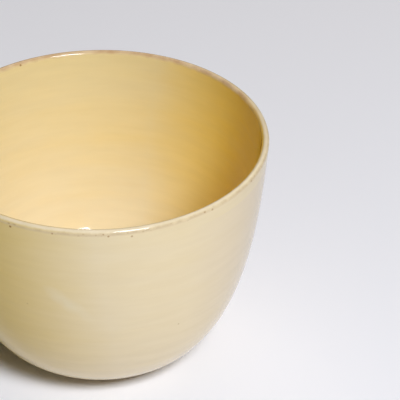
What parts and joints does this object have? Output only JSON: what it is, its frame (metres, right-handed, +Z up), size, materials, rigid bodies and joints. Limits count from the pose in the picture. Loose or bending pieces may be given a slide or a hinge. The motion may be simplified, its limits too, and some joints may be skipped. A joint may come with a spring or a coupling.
{
  "type": "handleless cup",
  "caption": "Wheel-thrown stoneware cup with no handle: round belly, open mouth, pale yellow glaze inside and out, thin tan lip and a low bare foot ring.",
  "frame": {"origin": "centre of the foot ring, on the table that the cup stands on", "axes": "+Z up along the axis the cup was turned on; the cup is round, so +X and +Y are any two level directions"},
  "size_m": [0.095, 0.095, 0.069],
  "materials": {
    "stoneware": "matte",
    "outer_glaze": "gloss",
    "liner_glaze": "gloss",
    "lip_glaze": "gloss"
  },
  "bodies": {
    "root": {"stoneware_body": "stoneware", "outer_glaze": "outer_glaze", "liner_glaze": "liner_glaze", "lip_glaze": "lip_glaze"}
  },
  "joints": []
}
